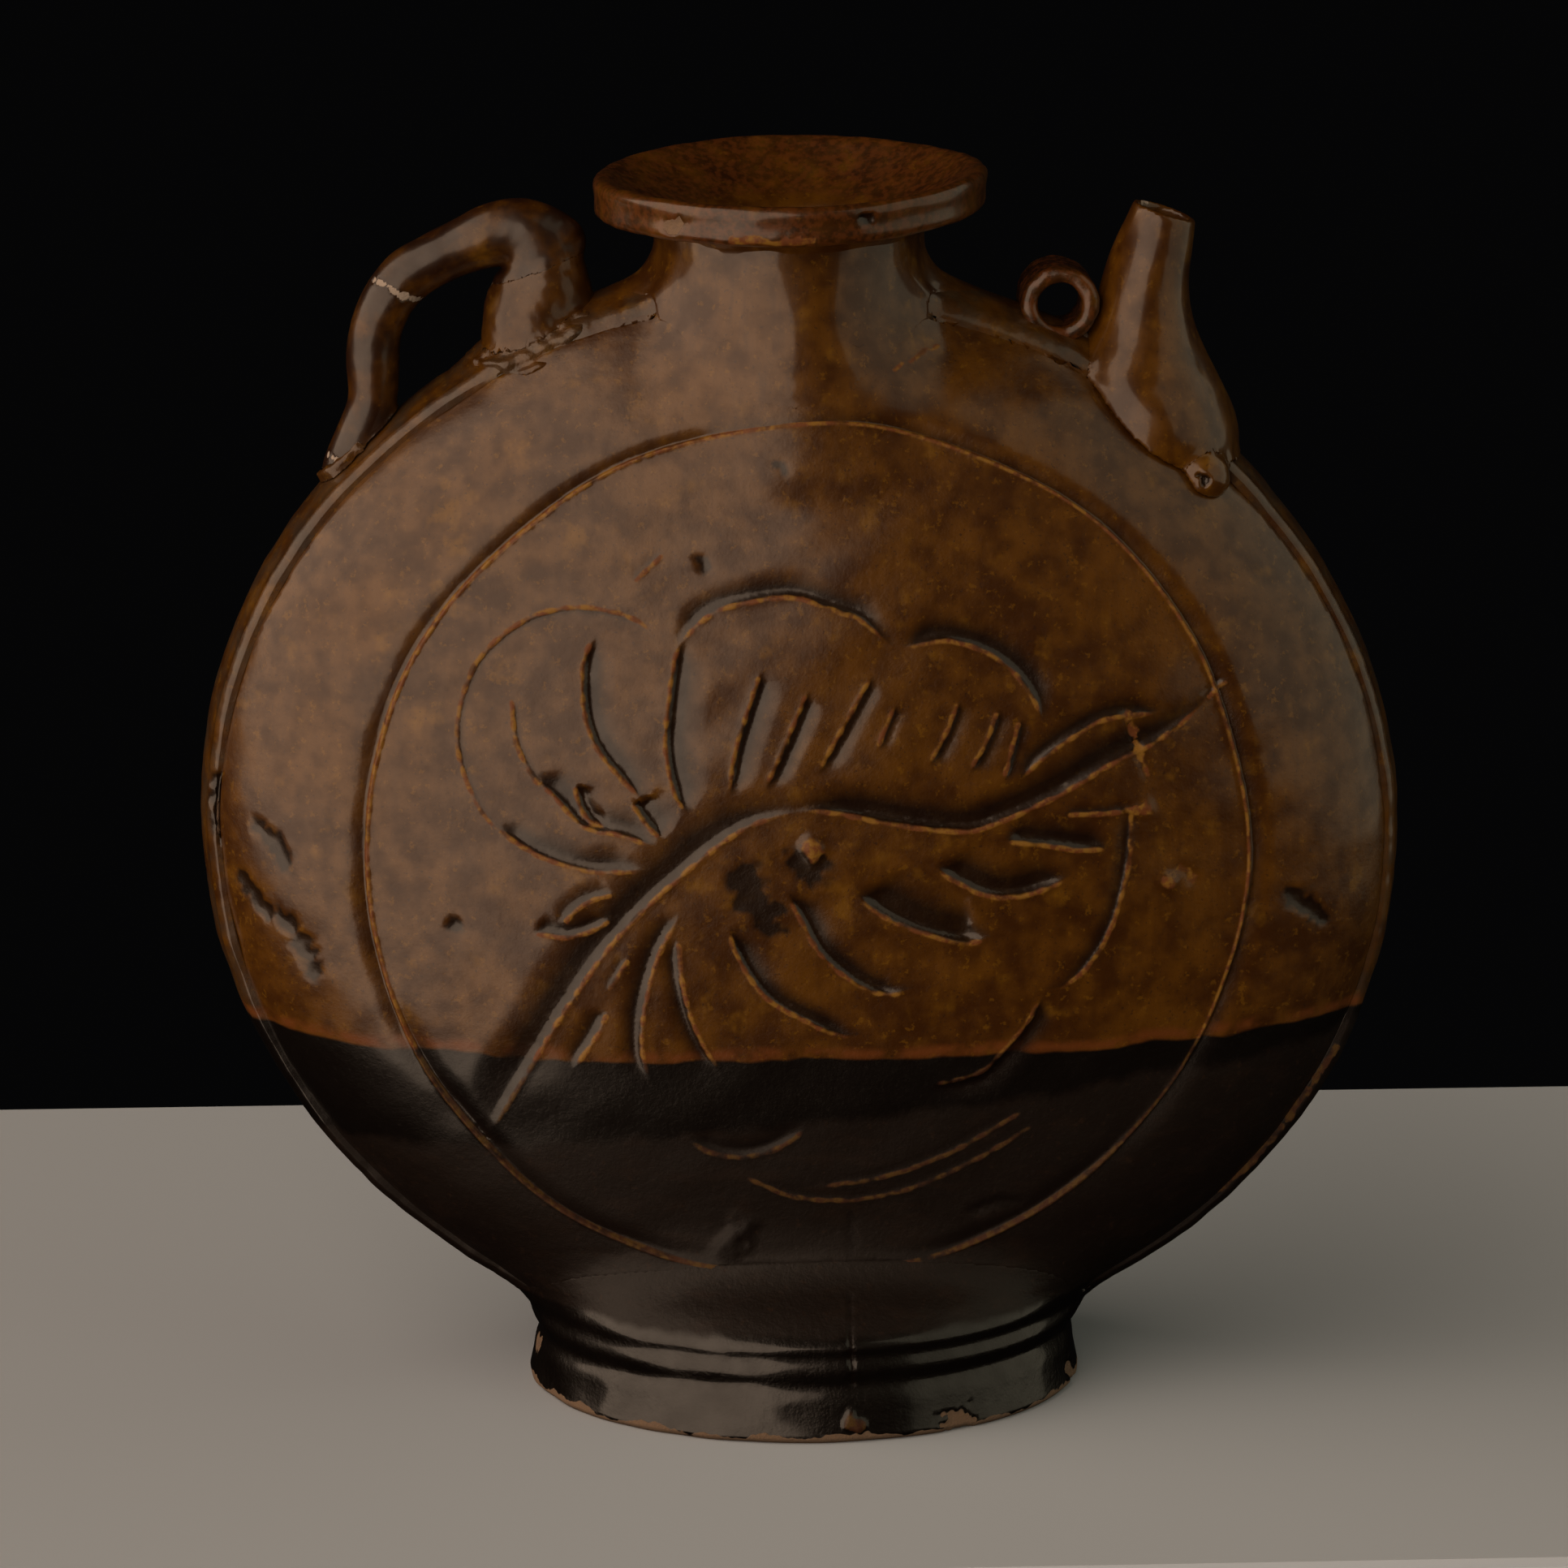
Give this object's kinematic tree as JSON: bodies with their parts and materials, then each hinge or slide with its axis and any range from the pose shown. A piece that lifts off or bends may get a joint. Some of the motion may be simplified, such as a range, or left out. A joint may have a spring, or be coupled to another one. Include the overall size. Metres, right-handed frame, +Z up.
{
  "type": "pilgrim flask",
  "caption": "Round-bodied glazed stoneware flask with a domed medallion, dished mouth, coil handle, tube lug, spout and open foot ring.",
  "frame": {"origin": "on the surface it stands on, under the middle of the body's outline", "axes": "+Z up, +X to the right seen from the incised front, +Y to the back"},
  "size_m": [0.2907, 0.117, 0.3],
  "materials": {
    "amber_glaze": "glossy amber-brown ash glaze over stoneware, pooled dark in cuts",
    "dark_glaze": "thin dark brown glaze, semi-gloss, worn to bare clay at the rest",
    "bare_clay": "unglazed tan stoneware, matt and gritty"
  },
  "bodies": {
    "root": {"front_bowl": "amber_glaze", "back_bowl": "amber_glaze", "edge_strap": "amber_glaze", "neck_collar": "amber_glaze", "mouth_dish": "amber_glaze", "foot_ring": "dark_glaze", "spout": "amber_glaze", "tube_lug": "amber_glaze", "handle_coil": "amber_glaze", "fan_root": "amber_glaze", "lug_wad": "bare_clay", "spout_heel": "amber_glaze", "fan_luting": "amber_glaze", "heel_pad": "amber_glaze"}
  },
  "joints": []
}
